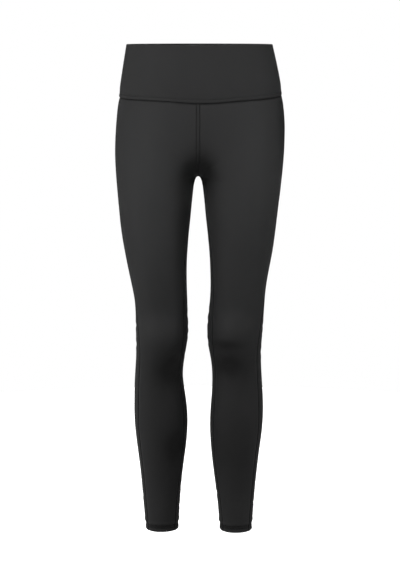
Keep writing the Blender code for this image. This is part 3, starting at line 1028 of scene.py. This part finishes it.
# %% The tones of a panel
def panel_marks(at):
    """What the material reads: where the cloth is sewn, the painted shade, and the stretch with its painted
    light, shade and highlights.
    """
    sewn = (np.minimum(at.to_inner, at.to_outer) < NEEDLE_AT).astype(float)
    # Painted shade along the joins and needle rows, under the band and in the hem's hollow
    shade = JOIN_SHADE * (bell(at.to_inner, JOIN_REACH) + bell(at.to_outer, JOIN_REACH))
    shade += waist_shade(at.side, at.to_inner, at.below_waist)
    shade += HEM_SHADE * bell(at.up - HEM_SHADE_AT, HEM_SHADE_REACH)
    seam_shade = TORSO_SHADE + (LEG_SHADE - TORSO_SHADE) * on_leg(at.z)
    for needle_row in (at.to_inner - NEEDLE_AT, at.to_outer - NEEDLE_AT):
        shade += seam_shade * bell(needle_row, SHADE_REACH)
    for needle in HEM_NEEDLES:
        shade += bell(at.up - needle, SHADE_REACH)
    # Stretch with painted light and shade, and painted highlights on the hem and beside the seams
    stretch_and_painted_shading = EVEN_STRETCH + heap(STRETCH_AND_PAINTED_SHADING, at.side, at.face, at.grid)
    stretch_and_painted_shading = stretch_and_painted_shading + painted_hem_highlight(at.up) + painted_seam_highlight(at.to_inner, at.to_outer, at.z)
    return {
        "sewn": sewn,
        "shade": np.clip(shade, 0, DEEPEST_SHADE),
        "stretch_and_painted_shading": np.clip(stretch_and_painted_shading, *STRETCH_LIMITS),
    }


print("the stretch tone stays between", *STRETCH_LIMITS)

# %% Make the panels
def nearest_row(rows, height):
    return int(np.argmin(np.abs(rows - height)))


def make_panel(at):
    out = normals(at.grid)
    form = panel_form(at)
    edge = rounding(at.up, HEM_WALL / 2)
    outer = at.grid + out * (form + panel_sewing(at) - edge)[..., None]
    inner = at.grid + out * (form - panel_wall(at) + edge)[..., None]
    # Above the crotch, relief never moves the centre seam off the middle, where the halves meet
    torso = at.z[:, 0] > CROTCH_Z
    for points in (outer, inner):
        points[torso, 0, 0] = at.grid[torso, 0, 0]
    name = f"{at.face}_{at.side}"
    panel = cloth_shell(name + "_panel", outer, inner, -at.to_outer, at.z, panel_marks(at))
    rows = [(outer[:, stitched], out[:, stitched]) for stitched in (STITCH_COLUMN, -1 - STITCH_COLUMN)]
    for needle in HEM_NEEDLES:
        row = nearest_row(HEM_ROWS, needle) - len(HEM_ROWS)
        rows.append((outer[row], out[row]))
    thread = thread_piece(name + "_stitching", rows)
    print(panel.name, len(panel.data.polygons), "faces,", round(cloth_area(outer), 4), "square metres")
    return panel, thread


panels = {place: make_panel(at) for place, at in panel_at.items()}

# %% [markdown]
# ## The waistband
#
# The band is two plies, folded at the top, so it has a round upper edge, and it is sewn on with its
# lower fold standing over the panels. It is one piece in front and one behind. Each is the same
# kind of shell as a panel, with its rows crowded at the fold, at the lower edge and at the needle
# row above it. Its two halves are laid out apart, because the seam rises differently on each side,
# and then joined into one grid.

# %% Rows of the band, from its fold down and from its lower edge up
FOLD_ROWS = np.array([0.02, 0.12, 0.3, 0.6, 1.0, 1.3, 2.0, 3.0, 4.5, 6.5, 9.0]) / 1000
EDGE_ROWS = [12.0, 10.0, 8.6, 7.8, 7.3, 6.9, 6.5, 6.0, 5.0, 3.8, 2.6, 1.7, 1.1, 0.7, 0.4, 0.15, 0.0]
EDGE_ROWS = np.array(EDGE_ROWS) / 1000
BAND_MIDDLE_ROWS = 26


def band_heights(face, side):
    """Heights of half a band's points, and how far each is below the fold and above the lower edge."""
    top = -EDGE_DIP[face] * (1 - SHARES) ** 2
    bottom = waist_seam_z(face, side, SHARES)
    fold = [top - down for down in FOLD_ROWS]
    edge = [bottom + above for above in EDGE_ROWS]
    steps = [k / BAND_MIDDLE_ROWS for k in range(1, BAND_MIDDLE_ROWS)]
    middle = [fold[-1] + (edge[0] - fold[-1]) * step for step in steps]
    z = np.array(fold + middle + edge)
    return z, top - z, z - bottom


print("rows in the band:", len(FOLD_ROWS) + BAND_MIDDLE_ROWS - 1 + len(EDGE_ROWS))

# %% Where the points of the band lie
BandSpots = namedtuple("BandSpots", "grid along to_side z below_fold above_edge")


def band_spots(face):
    halves = []
    for side in ("left", "right"):
        z, below_fold, above_edge = band_heights(face, side)
        grid, place, width = lay_out(side, face, np.tile(SHARES, (len(z), 1)), z)
        grid[:, 0, 0] = MIDDLE_X
        halves.append((grid, OUTWARD[side] * place, width - place, z, below_fold, above_edge))
    joined = [np.concatenate([left[:, ::-1], right[:, 1:]], axis=1) for left, right in zip(*halves)]
    return BandSpots(*joined)


band_at = {face: band_spots(face) for face in FACING}
for face, at in band_at.items():
    print(face, "of the band:", at.z.size, "points,", round(1000 * np.ptp(at.along)), "mm round")

# %% The form and the sewing of the band
BAND_TURN = 1.3
BAND_WAVE = 0.0004
BAND_WAVE_PERIOD = 0.19
BAND_WAVE_TURN = 0.8
BAND_WAVE_AT = 0.03
BAND_WAVE_REACH = 0.03
BAND_NEEDLE = 0.0069
BAND_NEEDLE_DEPTH = 0.0004
BAND_EDGE_PUFF = 0.0003
BAND_PUFF_AT = 0.0033
BAND_PUFF_REACH = 0.0022
BAND_HOLLOW_AT = 0.011
BAND_HOLLOW_REACH = 0.004
BAND_PUCKER_TURN = 0.5
BAND_PUCKER_REACH = 0.006
BAND_EDGE_RADIUS = 0.0012


def band_form(at, face):
    """What both plies follow: the waist's valley, the fullness and slow waves."""
    form = waist_valley(-at.above_edge) + FULL(at.z)
    wave = BAND_WAVE * uneven(at.along, BAND_WAVE_PERIOD, BAND_WAVE_TURN)
    wave = wave * bell(at.above_edge - BAND_WAVE_AT, BAND_WAVE_REACH)
    return form + (slack(at.along, at.z, BAND_TURN * FACING[face]) + wave)


def band_sewing(at):
    """What only the outer ply shows: its needle row, and the side joins."""
    puff = BAND_EDGE_PUFF * bell(at.above_edge - BAND_PUFF_AT, BAND_PUFF_REACH)
    puff = puff - BAND_EDGE_PUFF * bell(at.above_edge - BAND_HOLLOW_AT, BAND_HOLLOW_REACH)
    pucker = PUCKER_HEIGHT * uneven(at.along, PUCKER_PERIOD, BAND_PUCKER_TURN)
    pucker = pucker * bell(at.above_edge - BAND_NEEDLE, BAND_PUCKER_REACH)
    needle = BAND_NEEDLE_DEPTH * bell(at.above_edge - BAND_NEEDLE, NEEDLE_REACH)
    return puff + pucker - needle - JOIN_DEPTH * bell(at.to_side, JOIN_REACH)


print("the band's needle row runs", round(1000 * BAND_NEEDLE, 1), "mm above its lower edge")

# %% The tones of the band
BAND_NEEDLE_SHADE = 0.40
BAND_EDGE_SHADE_REACH = 0.0008
BAND_DEEPEST_SHADE = 1
BAND_MIDDLE_SHADE = 0.14
BAND_MIDDLE_SHADE_ACROSS = 0.11
BAND_MIDDLE_SHADE_UP = 0.055


def band_marks(at):
    # Painted shade along the band's needle row, at its side joins and along its lower edge
    shade = BAND_NEEDLE_SHADE * bell(at.above_edge - BAND_NEEDLE, SHADE_REACH)
    shade = shade + bell(at.to_side, SHADE_REACH) + bell(at.above_edge, BAND_EDGE_SHADE_REACH)
    # Painted shade: the middle of the band is darker towards its lower edge
    shaded_middle = bell(at.along, BAND_MIDDLE_SHADE_ACROSS) * bell(at.above_edge, BAND_MIDDLE_SHADE_UP)
    return {
        "sewn": np.zeros_like(at.z),
        "shade": np.clip(shade, 0, BAND_DEEPEST_SHADE),
        "stretch_and_painted_shading": EVEN_STRETCH - BAND_MIDDLE_SHADE * shaded_middle,
    }


# The band's middle is darker by this painted shade
print("the middle of the band is slacker by", BAND_MIDDLE_SHADE)

# %% Make the band pieces
def make_band(face, at):
    out = normals(at.grid)
    form = band_form(at, face) + BAND_PROUD
    fold = rounding(at.below_fold, BAND_WALL / 2)
    lower = rounding(at.above_edge, BAND_EDGE_RADIUS)
    outer = at.grid + out * (form + band_sewing(at) - fold - lower)[..., None]
    inner = at.grid + out * (form - BAND_WALL + fold)[..., None]
    band = cloth_shell(f"waistband_{face}_piece", outer, inner, at.along, at.z, band_marks(at))
    row = nearest_row(EDGE_ROWS, BAND_NEEDLE) - len(EDGE_ROWS)
    thread = thread_piece(f"waistband_{face}_stitching", [(outer[row], out[row])])
    print(band.name, len(band.data.polygons), "faces,", round(cloth_area(outer), 4), "square metres")
    return band, thread


bands = {face: make_band(face, at) for face, at in band_at.items()}

# %% [markdown]
# ## The knit
#
# The cloth is a fine, matt, black knit. Close up it is columns of small V-shaped loops, less than a
# millimetre wide. An image would repeat, so the pattern is worked out from the place on the cloth:
# one number counts columns, another counts rows, and leaning the rows towards the middle of each
# column makes the V. From a step away only a faint grain is left. The cloth has little gloss, and a
# full diffuse roughness, because brushed fibres send light back widely.
#
# Its colour lies between a dark and a less dark black. What moves it between the two is a short
# list of tones: broad unevenness, the nap, how stretched the knit is together with painted light and
# shade, a painted highlight between the needle rows of the seams, and the painted shade along the
# needle rows and joins.

# %% Small helpers for shader nodes
def new_node(tree, kind, **settings):
    node = tree.nodes.new(kind)
    for key, value in settings.items():
        setattr(node, key, value)
    return node


def calculate(tree, operation, *values):
    """A Math node on sockets or plain numbers, as the socket it gives."""
    node = new_node(tree, "ShaderNodeMath", operation=operation)
    for socket, value in zip(node.inputs, values):
        if isinstance(value, (int, float)):
            socket.default_value = value
        else:
            tree.links.new(value, socket)
    return node.outputs[0]


def mix_colours(tree, share, first, second):
    node = new_node(tree, "ShaderNodeMix", data_type="RGBA")
    colours = [socket for socket in node.inputs if socket.type == "RGBA"]
    colours[0].default_value = first
    colours[1].default_value = second
    tree.links.new(share, node.inputs["Factor"])
    return next(socket for socket in node.outputs if socket.type == "RGBA")


def noise(tree, scale, detail):
    """Noise in the piece's own coordinates, in metres."""
    where = new_node(tree, "ShaderNodeTexCoord")
    node = new_node(tree, "ShaderNodeTexNoise")
    node.inputs["Scale"].default_value = scale
    node.inputs["Detail"].default_value = detail
    tree.links.new(where.outputs["Object"], node.inputs["Vector"])
    return node.outputs["Fac"]


# %% The knit's loops
WALE = 0.00090  # width of a column of loops
COURSE = 0.00065  # height of a row of loops
ZIGZAG = 0.0018  # length of one turn of the cover thread
ROW_HEIGHT = 0.25
COLUMN_HEIGHT = 0.6
LOWEST = 0.2


def loops_height(tree):
    """Height of the loops from 0 to 1, and the place down the cloth in metres."""
    uv = new_node(tree, "ShaderNodeUVMap", uv_map="knit")
    parts = new_node(tree, "ShaderNodeSeparateXYZ")
    tree.links.new(uv.outputs["UV"], parts.inputs[0])
    wale = calculate(tree, "MULTIPLY", parts.outputs["X"], 1 / WALE)
    arm = calculate(tree, "PINGPONG", wale, 0.5)
    course = calculate(tree, "ADD", calculate(tree, "MULTIPLY", parts.outputs["Y"], 1 / COURSE), arm)
    row = calculate(tree, "SINE", calculate(tree, "MULTIPLY", course, 2 * math.pi))
    across = calculate(tree, "SINE", calculate(tree, "MULTIPLY", arm, math.pi))
    across = calculate(tree, "MULTIPLY", across, COLUMN_HEIGHT)
    height = calculate(tree, "MULTIPLY_ADD", row, ROW_HEIGHT, across)
    return calculate(tree, "ADD", height, LOWEST), parts.outputs["Y"]


def cover_thread(tree, down, sewn):
    """The zigzag of thread that covers a flat seam, between its needle rows."""
    wave = calculate(tree, "SINE", calculate(tree, "MULTIPLY", down, 2 * math.pi / ZIGZAG))
    return calculate(tree, "MULTIPLY", calculate(tree, "ABSOLUTE", wave), sewn)


print("loops:", round(0.001 / WALE, 2), "columns and", round(0.001 / COURSE, 2), "rows to the millimetre")

# %% Numbers of the cloth's material
CLOTH_DARK = (0.0045, 0.0045, 0.0046, 1)
CLOTH_LIGHT = (0.0270, 0.0270, 0.0274, 1)
BASE_TONE = -0.25
LOOP_TONE = 0.35
BROAD_TONE = 0.30
NAP_TONE = 0.20
STRETCH_AND_PAINTED_SHADING_TONE = 0.90
SHADE_TONE = -0.66
# Painted highlight on the seams' ridges, between their needle rows
SEWN_PAINTED_HIGHLIGHT = 0.05
COVER_TONE = 0.10
BROAD_NOISE = (14, 3)  # scale and detail
NAP_NOISE = (1400, 2)
CLOTH_ROUGHNESS = 0.76
ROUGHNESS_SPREAD = 0.12
CLOTH_GLOSS = 0.22
CLOTH_MATT = 1.0
LOOP_RELIEF = 0.00006
NAP_RELIEF = 0.00003
COVER_RELIEF = 0.00010
print("even cloth has a tone of", round(BASE_TONE + STRETCH_AND_PAINTED_SHADING_TONE * EVEN_STRETCH, 2), "before its texture")

# %% The cloth's material
def mark(tree, name):
    """A number that the mesh carries, as a socket."""
    return new_node(tree, "ShaderNodeAttribute", attribute_name=name).outputs["Fac"]


def raised(tree, layers):
    """Bumps on top of each other, as the normal that comes out of the last."""
    below = None
    for height, relief in layers:
        bump = new_node(tree, "ShaderNodeBump")
        bump.inputs["Distance"].default_value = relief
        tree.links.new(height, bump.inputs["Height"])
        if below:
            tree.links.new(below, bump.inputs["Normal"])
        below = bump.outputs["Normal"]
    return below


def knit_material(name):
    material = bpy.data.materials.new(name)
    material.use_nodes = True
    tree = material.node_tree
    shader = tree.nodes["Principled BSDF"]
    loops, down = loops_height(tree)
    sewn, shade, stretch_and_painted_shading = (mark(tree, each) for each in ("sewn", "shade", "stretch_and_painted_shading"))
    cover = cover_thread(tree, down, sewn)
    broad = noise(tree, *BROAD_NOISE)
    nap = noise(tree, *NAP_NOISE)
    light = calculate(tree, "MULTIPLY_ADD", loops, LOOP_TONE, BASE_TONE)
    # The stretch tone carries painted light and shade, the shade mark painted shade, and the sewn mark a
    # painted highlight on the seam ridges
    tones = ((broad, BROAD_TONE), (nap, NAP_TONE), (stretch_and_painted_shading, STRETCH_AND_PAINTED_SHADING_TONE))
    tones += ((shade, SHADE_TONE), (sewn, SEWN_PAINTED_HIGHLIGHT), (cover, COVER_TONE))
    for value, tone in tones:
        light = calculate(tree, "MULTIPLY_ADD", value, tone, light)
    tree.links.new(mix_colours(tree, light, CLOTH_DARK, CLOTH_LIGHT), shader.inputs["Base Color"])
    rough = calculate(tree, "MULTIPLY_ADD", broad, ROUGHNESS_SPREAD, CLOTH_ROUGHNESS - ROUGHNESS_SPREAD / 2)
    tree.links.new(rough, shader.inputs["Roughness"])
    shader.inputs["Specular IOR Level"].default_value = CLOTH_GLOSS
    shader.inputs["Diffuse Roughness"].default_value = CLOTH_MATT
    normal = raised(tree, ((loops, LOOP_RELIEF), (nap, NAP_RELIEF), (cover, COVER_RELIEF)))
    tree.links.new(normal, shader.inputs["Normal"])
    return material


leg_knit = knit_material("leg_knit")
band_knit = knit_material("waistband_knit")
print("nodes in the cloth's material:", len(leg_knit.node_tree.nodes))

# %% [markdown]
# ## The thread's finish
#
# The thread is spun polyester in the same black, a little glossier than the cloth. A fine noise
# stands for its twist, and varies its roughness and its relief. A stitch is 0.6 mm wide, so modelled
# strands would be too fine to see.

# %% The thread's material
THREAD_COLOUR = (0.019, 0.019, 0.0195, 1)
THREAD_GLOSS = 0.25
THREAD_ROUGHNESS = 0.3
THREAD_SPREAD = 0.4
PLY_NOISE = (2500, 1)


def thread_material():
    material = bpy.data.materials.new("thread")
    material.use_nodes = True
    tree = material.node_tree
    shader = tree.nodes["Principled BSDF"]
    twist = noise(tree, *PLY_NOISE)
    ply = calculate(tree, "MULTIPLY_ADD", twist, THREAD_SPREAD, THREAD_ROUGHNESS)
    tree.links.new(ply, shader.inputs["Roughness"])
    shader.inputs["Base Color"].default_value = THREAD_COLOUR
    shader.inputs["Specular IOR Level"].default_value = THREAD_GLOSS
    tree.links.new(raised(tree, [(ply, NAP_RELIEF)]), shader.inputs["Normal"])
    return material


thread_finish = thread_material()
print("thread roughness:", THREAD_ROUGHNESS, "to", THREAD_ROUGHNESS + THREAD_SPREAD)

# %% [markdown]
# ## Putting the pieces on the frame
#
# Each shell stands for one solid, and each row of stitching rides with it. A knitted panel is a
# sheet that was cut flat and stretched over the form.

# %% Dress the frame
Cut = namedtuple("Cut", "width length area")


def dress(piece, thread, node, material):
    piece.data.materials.append(material)
    thread.data.materials.append(thread_finish)
    for each in (piece, thread):
        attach(each, "root")
    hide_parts(node)


for (face, side), (panel, thread) in panels.items():
    dress(panel, thread, f"{face}_{side}", leg_knit)
for face, (band, thread) in bands.items():
    dress(band, thread, f"waistband_{face}", band_knit)

# %% [markdown]
# ## Floor and room
#
# The garment hangs over a pale floor in a white room. Black cloth gives back so little light that
# its form only shows where the light changes across it, and white paper all round would flatten it.
# The paper and the room are therefore white to the camera and dim as lights.

# %% White to the camera, dim as a light
ROOM_GLOW = 0.05
WHITE = (1, 1, 1, 1)


def seen_strength(tree, glow):
    """A strength of 1 to the camera and of this glow to everything else."""
    seen = new_node(tree, "ShaderNodeLightPath").outputs["Is Camera Ray"]
    return calculate(tree, "MULTIPLY_ADD", seen, 1 - glow, glow)


world = bpy.data.worlds.new("white_room")
world.use_nodes = True
room = world.node_tree.nodes["Background"]
room.inputs["Color"].default_value = WHITE
world.node_tree.links.new(seen_strength(world.node_tree, ROOM_GLOW), room.inputs["Strength"])
bpy.context.scene.world = world
bpy.context.scene.view_settings.view_transform = "Standard"
print("the room lights the cloth with", ROOM_GLOW, "of its white")

# %% Floor
FLOOR_Z = HEM_Z - 0.09
FLOOR_RADIUS = 1.8
FLOOR_SIDES = 96
PAPER_COLOUR = (0.86, 0.86, 0.86, 1)
PAPER_ROUGHNESS = 0.9

mesh = bmesh.new()
lowered = Matrix.Translation((0, 0, FLOOR_Z))
bmesh.ops.create_circle(mesh, cap_ends=True, segments=FLOOR_SIDES, radius=FLOOR_RADIUS, matrix=lowered)
floor_data = bpy.data.meshes.new("floor")
mesh.to_mesh(floor_data)
mesh.free()
floor = bpy.data.objects.new("floor", floor_data)
bpy.context.scene.collection.objects.link(floor)
paper = bpy.data.materials.new("white_paper")
paper.use_nodes = True
paper_shader = paper.node_tree.nodes["Principled BSDF"]
paper_shader.inputs["Base Color"].default_value = PAPER_COLOUR
paper_shader.inputs["Roughness"].default_value = PAPER_ROUGHNESS
paper_shader.inputs["Emission Color"].default_value = WHITE
paper_strength = seen_strength(paper.node_tree, ROOM_GLOW)
paper.node_tree.links.new(paper_strength, paper_shader.inputs["Emission Strength"])
floor_data.materials.append(paper)
floor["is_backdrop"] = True
print("the floor lies", round(1000 * (HEM_Z - FLOOR_Z)), "mm below the hems")

# %% [markdown]
# ## Lamps
#
# Soft lamps model the legs. A broad one stands in front, at the left. One at each side, the left
# one stronger, draws the rounding of the legs towards their edges. A weak low one fills the left
# calf, and one behind lights the back. Two narrow ones lift the hips, as a spot with a long snoot
# would.

# %% Lamps
Lamp = namedtuple("Lamp", "name at aim size spread watts")
LAMPS = (
    # Broad and soft
    Lamp("near_left", (-0.6, -1.2, 0.4), (0.0, 0.0, -0.35), 1.0, 180, 12.6),
    Lamp("side_left", (-2.2, -0.3, 0.0), (0.0, 0.0, -0.35), 1.0, 180, 16.6),
    Lamp("side_right", (2.2, -0.3, 0.0), (0.0, 0.0, -0.35), 1.0, 180, 11.8),
    Lamp("low_left", (-1.6, -0.5, -0.6), (0.0, 0.0, -0.70), 1.0, 180, 2.3),
    Lamp("behind", (0.0, 1.8, 0.9), (0.0, 0.0, -0.35), 1.0, 180, 25.0),
    # Narrow, on the hips
    Lamp("hip_left", (-0.9, -1.4, 0.5), (-0.07, 0.0, -0.15), 0.5, 35, 0.30),
    Lamp("hip_right", (0.9, -1.4, 0.5), (0.10, 0.0, -0.15), 0.5, 35, 0.73),
)

for lamp in LAMPS:
    light = bpy.data.lights.new(lamp.name, "AREA")
    light.shape = "DISK"
    light.size = lamp.size
    light.spread = math.radians(lamp.spread)
    light.energy = lamp.watts
    source = bpy.data.objects.new(lamp.name, light)
    source.location = lamp.at
    source.rotation_euler = (Vector(lamp.aim) - Vector(lamp.at)).to_track_quat("-Z", "Y").to_euler()
    source.visible_camera = False
    bpy.context.scene.collection.objects.link(source)
print("lamps:", len(LAMPS))

# %% The two boxes, and the end
boxes = {"cad": [list(corner) for corner in cad_box], "visual": [list(corner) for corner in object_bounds()]}
for which, box in boxes.items():
    print(which, "box in mm:", [[round(1000 * value, 1) for value in corner] for corner in box])
